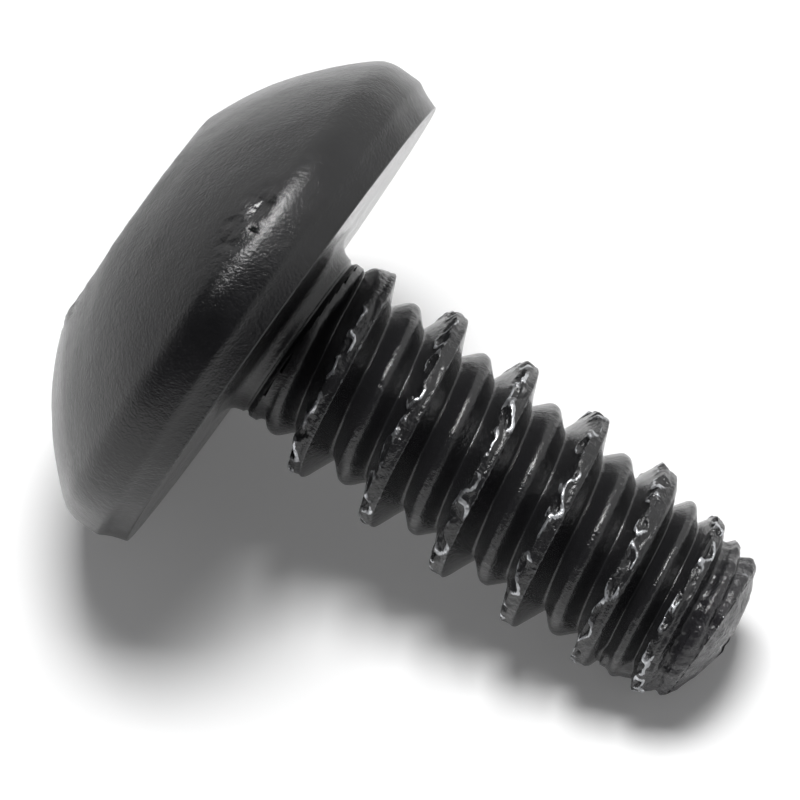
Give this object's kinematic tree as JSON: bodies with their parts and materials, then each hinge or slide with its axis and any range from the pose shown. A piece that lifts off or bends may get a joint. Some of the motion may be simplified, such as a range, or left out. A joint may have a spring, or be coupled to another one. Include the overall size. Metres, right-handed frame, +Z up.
{
  "type": "self-tapping screw",
  "caption": "Short self-tapping screw with a wide domed pan head, a cross recess, a high-and-low two-start thread and a blunt point, in black finish",
  "frame": {"origin": "centre of the bounding box on the surface that the screw lies on", "axes": "+Z up; the axis of the screw lies in the XZ plane with the head toward -X and the tip toward +X, dipping 19.4 degrees toward the tip; +X is the longest extent"},
  "size_m": [0.0132, 0.01, 0.0096],
  "materials": {
    "screw_finish": "satin"
  },
  "bodies": {
    "root": {"screw": "screw_finish"}
  },
  "joints": []
}
